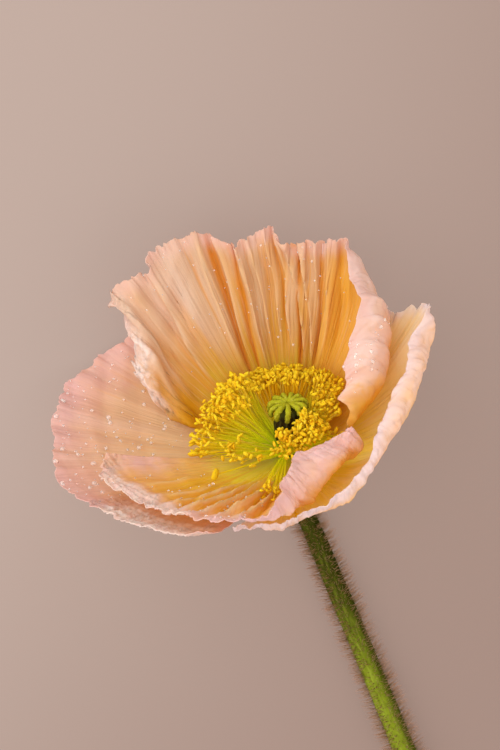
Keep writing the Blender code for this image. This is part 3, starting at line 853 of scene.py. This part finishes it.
def build_pistil():
    """Ribbed ovary, a low dome and thick fuzzy rays that droop over its edge."""
    rays = 11
    around, rows = 88, 40
    h = np.linspace(0, 1, rows)
    heights = (0, 0.1, 0.3, 0.6, 0.78, 0.84, 0.92, 1)
    profile = np.interp(h, heights, (1.5, 2.1, 2.8, 3.1, 2.9, 3.2, 2.4, 0.3))
    turn = np.linspace(0, 2 * math.pi, around, endpoint=False)
    deep = np.interp(h, (0, 0.2, 0.7, 0.85, 1), (0, 0.25, 0.3, 0.1, 0))
    r = (profile[:, None] + np.cos(rays * turn)[None, :] * deep[:, None]) * MM
    level = np.broadcast_to((0.3 + 14 * h)[:, None] * MM, r.shape)
    points = np.stack([r * np.cos(turn), r * np.sin(turn), level], -1)
    body = to_world(lean_cap(points)).reshape(-1, 3)
    up = np.repeat(h * 0.75, around)
    stripe = np.clip(np.tile(np.cos(rays * turn), rows) * 1.4 - 0.5, 0, 1)
    # rays: from the middle of the dome, out and down like fingers
    knots, sides = 30, 12
    t = np.linspace(0, 1, knots)
    stations = (0, 0.2, 0.45, 0.62, 0.8, 1)
    ray_r = np.interp(t, stations, (0.4, 2.1, 4, 4.6, 4.75, 4.5))
    ray_h = np.interp(t, stations, (14.6, 15, 14.8, 14.2, 13.4, 12.2))
    for line in (ray_r, ray_h):
        for _ in range(4):
            line[1:-1] = (line[:-2] + 2 * line[1:-1] + line[2:]) / 4
    thick = np.interp(t, (0, 0.2, 0.5, 0.8, 0.95, 1), (0.4, 0.55, 0.66, 0.62, 0.52, 0.1))
    paths, radii = [], []
    for k in range(rays):
        a = 2 * math.pi * k / rays + rng.uniform(-0.15, 0.15)
        droop = rng.uniform(0.8, 1.2)
        swing = a + rng.uniform(-0.12, 0.12) * t**2
        rr = ray_r * rng.uniform(0.93, 1.05)
        hh = 15 - (15 - ray_h) * droop
        paths.append(lean_cap(np.stack([rr * np.cos(swing), rr * np.sin(swing), hh], -1) * MM))
        radii.append(thick * rng.uniform(0.88, 1.1) * MM)
    ray_points, ray_quads, place, ring = tubes(to_world(np.array(paths)), np.array(radii), sides)
    ray_points = ray_points + ring * rng.normal(0, 0.09 * MM, (len(ray_points), 1))
    start = len(body)
    all_points = np.vstack([body, ray_points])
    faces = [*grid_quads(rows, around, wrap=True), *end_caps(0, rows, around), *(ray_quads + start)]
    for k in range(rays):
        faces += end_caps(start + k * knots * sides, knots, sides)
    numbers = {
        "up": np.concatenate([up, 0.98 - 0.3 * np.clip(place - 0.5, 0, 1)]),
        "stripe": np.concatenate([stripe, np.zeros(len(ray_points))]),
    }
    obj = make_mesh("pistil_fine", all_points, faces, (pistil_material(),), numbers)
    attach(obj, "root")
    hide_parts("pistil")


build_pistil()


# ---- stem
STEM_TIP = np.array([0.0534, -0.0908])
STEM_TURN = math.radians(13)
BEND_STEPS = 10
RUN_STEPS = 8
HAIRS = 6600


def stem_line():
    """The CAD stem's centre line and radii, resampled finely and evenly."""
    r_top, r_ground, r_end = 2.35 * MM, 2.6 * MM, 3.05 * MM
    points, radii = [HEAD_AT.copy()], [3.6 * MM]
    for below, radius in ((2.6, 3.6), (4.0, 3.2), (5.5, 2.6), (7.0, 2.35)):
        points.append(HEAD_AT - AXIS * below * MM)
        radii.append(radius * MM)
    tip = np.array([*STEM_TIP, r_end])
    here = points[-1].copy()
    slope = math.asin(AXIS[2])
    bend = (here[2] - r_end) / (1 - math.cos(slope))
    start = math.atan2(-AXIS[1], -AXIS[0])
    for k in range(1, BEND_STEPS + 1):
        t = (k - 0.5) / BEND_STEPS
        fall = slope * (1 - t)
        yaw = start + STEM_TURN * min(1, 2 * t)
        along = np.array([math.cos(yaw) * math.cos(fall), math.sin(yaw) * math.cos(fall), -math.sin(fall)])
        here = here + along * bend * slope / BEND_STEPS
        points.append(here.copy())
        radii.append(r_top + (r_ground - r_top) * k / BEND_STEPS)
    ground = here.copy()
    yaw = start + STEM_TURN
    middle = ground + np.array([math.cos(yaw), math.sin(yaw), 0]) * np.linalg.norm(tip - ground) / 2
    for k in range(1, RUN_STEPS + 1):
        t = k / RUN_STEPS
        points.append(ground * (1 - t) ** 2 + middle * 2 * t * (1 - t) + tip * t * t)
        radii.append(r_ground + (r_end - r_ground) * t)
    table = np.hstack([np.array(points), np.array(radii)[:, None]])
    fine = catmull(table, np.linspace(0, len(table) - 1, 400))
    run = np.concatenate([[0], np.cumsum(np.linalg.norm(np.diff(fine[:, :3], axis=0), axis=1))])
    even = np.stack([np.interp(np.linspace(0, run[-1], 170), run, fine[:, k]) for k in range(4)], 1)
    return even[:, :3], even[:, 3]


def stem_material():
    n = Nodes("stem")
    along = n.number("along")
    around = n.number("round")
    grain = n.noise(n.vector(n.times(around, 26), n.times(along, 30)), 1, 4, 0.6)
    blotch = n.noise(n.place(), 160, 3, 0.6)
    # painted shade: the stem and its pale streaks are darkest near the head, where the flower's shadow
    # falls, and lighter green towards the cut end
    n.colour = n.ramp(along, (
        (0, (0.032, 0.036, 0.002)), (0.28, (0.045, 0.05, 0.002)),
        (0.55, (0.21, 0.26, 0.012)), (1, (0.31, 0.38, 0.034)),
    ))
    n.paint(n.times(n.span(grain, 0.42, 0.7), n.span(along, 0.15, 0.55, 0.15, 0.75)), (0.3, 0.36, 0.035))
    n.paint(n.span(blotch, 0.5, 0.8, 0, 0.3), (0.08, 0.07, 0.004))
    # painted shade down one side of the stem
    from_shaded_side = n.math("ABSOLUTE", n.minus(around, 0.56))
    n.paint(n.span(from_shaded_side, 0.2, 0.04, 0, 0.75), (0.03, 0.034, 0.001))
    normal = n.bump(n.plus(grain, n.times(blotch, 0.5)), 0.5, 0.3 * MM)
    n.surface(n.span(grain, 0.3, 0.7, 0.55, 0.75), 0.05, Normal=normal)
    return n.material


def hair_material():
    n = Nodes("stem_hair")
    stops = ((0, (0.24, 0.2, 0.03)), (0.35, (0.56, 0.34, 0.18)), (1, (0.78, 0.5, 0.36)))
    n.colour = n.ramp(n.number("along"), stops)
    n.surface(n.span(n.number("tone"), 0, 1, 0.35, 0.55), 0.5)
    n.let_through(0.5, n.colour)
    return n.material


def build_stem():
    line, radii = stem_line()
    sides = 36
    points, quads, place, ring = tubes(line[None], radii[None], sides)
    angle = np.tile(np.arange(sides) / sides, len(line))
    swell = 0.05 * np.cos(2 * math.pi * angle * 9 + 2 * np.sin(place * 20))
    swell = swell + 0.06 * noise1(place * 40, 5)
    points = points + ring * (swell * MM * smooth(place, 0.02, 0.06))[:, None]
    points[:, 2] = np.maximum(points[:, 2], 0.0)
    faces = [*quads, *end_caps(0, len(line), sides)]
    numbers = {"along": place, "round": angle}
    obj = make_mesh("stem_fine", points, faces, (stem_material(),), numbers)
    obj.data.set_sharp_from_angle(angle=math.radians(50))
    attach(obj, "root")
    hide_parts("stem")
    # hairs stand out all round, bent a little towards the cut end, and none goes into the ground
    count = HAIRS
    where = rng.uniform(0.03, 0.995, count)
    index = where * (len(line) - 1)
    low = np.floor(index).astype(int)
    f = (index - low)[:, None]
    high = np.minimum(low + 1, len(line) - 1)
    centre = line[low] * (1 - f) + line[high] * f
    radius = radii[low][:, None] * (1 - f) + radii[high][:, None] * f
    tangent = unit(line[high] - line[np.maximum(low - 1, 0)])
    side = unit(np.cross(tangent, np.array([0, 0, 1.0])))
    other = np.cross(side, tangent)
    a = rng.uniform(0, 2 * math.pi, (count, 1))
    out = side * np.cos(a) + other * np.sin(a)
    root = centre + out * radius * 0.97
    lean = unit(out - tangent * rng.uniform(-0.15, 0.35, (count, 1)) + 0.12 * rng.normal(0, 1, (count, 3)))
    length = rng.uniform(1.7, 3.7, (count, 1)) * MM
    room = (root[:, 2:3] - 0.25 * MM) / np.maximum(-lean[:, 2:3], 1e-3)
    length = np.where(lean[:, 2:3] < 0, np.minimum(length, room), length)
    keep = length[:, 0] > 0.5 * MM
    root, lean, length, tangent = root[keep], lean[keep], length[keep], tangent[keep]
    count = len(root)
    t = np.array([0, 0.5, 1.0])[None, :, None]
    droop = -tangent[:, None] * (0.1 * length[:, None] * t * t)
    path = root[:, None] + lean[:, None] * length[:, None] * t + droop
    path[..., 2] = np.maximum(path[..., 2], 0.12 * MM)
    thick = np.broadcast_to(np.array([0.06, 0.048, 0.02])[None, :] * MM, (count, 3))
    points, quads, place, _ = tubes(path, thick, 3)
    numbers = {"along": place, "tone": np.repeat(rng.uniform(0, 1, count), 9)}
    hairs = make_mesh("stem_hairs", points, quads, (hair_material(),), numbers)
    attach(hairs, "root")


build_stem()


# ---- water droplets
SMALLEST = 0.2  # mm


def drop_material():
    """Clear water that lets the lamps through to the petal under it."""
    n = Nodes("droplet")
    n.colour = (1.0, 0.94, 0.9)
    n.surface(0.18, 0.5, IOR=1.33, Transmission_Weight=0.66)
    shadow = n.add("LightPath").outputs["Is Shadow Ray"]
    n.blend_shader(shadow, n.add("BsdfTransparent"))
    return n.material


def ball_mesh():
    rings, sides = 8, 10
    v, u = ball_angles(rings, sides, 0.02)
    ball = np.stack([np.sin(v) * np.cos(u), np.sin(v) * np.sin(u), np.cos(v)], -1).reshape(-1, 3)
    faces = [*grid_quads(rings, sides, wrap=True), *end_caps(0, rings, sides)]
    return ball, [tuple(face)[::-1] for face in faces]


def scatter_drops(name, petal, count, az_range, t_range, biggest, look, outside=False):
    points, normal = petals[petal]
    columns, steps, _ = points.shape
    ball, faces = ball_mesh()
    all_points, all_faces = [], []
    for _ in range(count):
        i = int(columns * rng.uniform(*az_range))
        j = int(steps * rng.uniform(*t_range))
        i, j = min(i, columns - 1), min(j, steps - 1)
        way = -normal[i, j] if outside else normal[i, j]
        size = (SMALLEST + (biggest - SMALLEST) * rng.uniform(0, 1) ** 3.5) * MM
        first = unit(np.cross(way, rng.normal(0, 1, 3)))
        second = np.cross(way, first)
        oval = rng.uniform(0.85, 1.15)
        middle = points[i, j] + way * (0.1 * MM + 0.3 * size)
        flat = ball[:, 0:1] * first * size * oval + ball[:, 1:2] * second * size / oval
        blob = middle + flat + ball[:, 2:3] * way * size * 0.75
        start = len(all_points) * len(ball)
        all_points.append(to_world(blob))
        all_faces += [tuple(start + q for q in face) for face in faces]
    obj = make_mesh(name, np.array(all_points), all_faces, (look,))
    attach(obj, "root")


drops = drop_material()
scatter_drops("droplets_left", "left", 170, (0.25, 0.72), (0.35, 0.98), 0.75, drops)
scatter_drops("droplets_back", "back", 80, (0.12, 0.72), (0.4, 0.98), 0.4, drops)
scatter_drops("droplets_back_flap", "back", 22, (0.76, 0.92), (0.72, 0.97), 0.8, drops, True)
scatter_drops("droplets_front", "front", 60, (0.05, 0.5), (0.35, 0.95), 0.45, drops)


# ---- floor, light and camera
def build_floor():
    """A plain floor that fades from left to right as painted shade, with a light of its own as if lit from
    below.
    """
    n = Nodes("floor")
    place = n.add("SeparateXYZ")
    n.link(n.place(), place.inputs[0])
    across = n.minus(place.outputs["X"], n.times(place.outputs["Y"], 0.2))
    near = n.math("MAXIMUM", n.minus(0.054, place.outputs["Y"]), 0.0)
    across = n.math("MULTIPLY_ADD", near, 0.6, across)
    tone = n.mix(n.span(across, -0.112, 0.126), (0.25, 0.191, 0.166), (0.181, 0.125, 0.105))
    n.colour = n.mix(1.0, tone, (0.75, 0.75, 0.75), "MULTIPLY")
    n.surface(0.9, 0.1, Emission_Color=tone, Emission_Strength=1.17)
    half = 3.0
    corners = [(-half, -half, 0), (half, -half, 0), (half, half, 0), (-half, half, 0)]
    floor = make_mesh("floor", corners, [(0, 1, 2, 3)], (n.material,))
    floor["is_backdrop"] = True


def area(name, place, size, power, colour):
    """A round lamp that points at the flower."""
    light = bpy.data.lights.new(name, "AREA")
    light.shape = "DISK"
    light.size = size
    light.energy = power
    light.color = colour
    obj = new_object(name, light)
    obj.location = place
    way = Vector((0, 0.04, 0.03)) - Vector(place)
    obj.rotation_euler = way.to_track_quat("-Z", "Y").to_euler()


build_floor()
world = bpy.data.worlds.new("studio")
world.use_nodes = True
colour, strength = world.node_tree.nodes["Background"].inputs[:2]
colour.default_value = (1.0, 0.98, 0.96, 1)
strength.default_value = 0.83
bpy.context.scene.world = world
area("key", (-0.52, 0.12, 0.7), 1.5, 7.4, (1.0, 0.98, 0.95))
area("fill", (0.5, -0.5, 0.7), 0.9, 2.6, (1.0, 0.96, 0.93))

data = bpy.data.cameras.new("camera")
data.lens = 99.84
data.sensor_width = 36
data.clip_start = 0.01
camera = new_object("camera", data)
camera.location = (HEAD_AT[0] - 0.00925, HEAD_AT[1] + 0.01775, HEAD_AT[2] + 0.52)
camera.rotation_euler = (0, 0, 0)  # straight down, the top of the picture towards +Y
bpy.context.scene.camera = camera
bpy.context.scene.view_settings.view_transform = "Standard"

low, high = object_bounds()
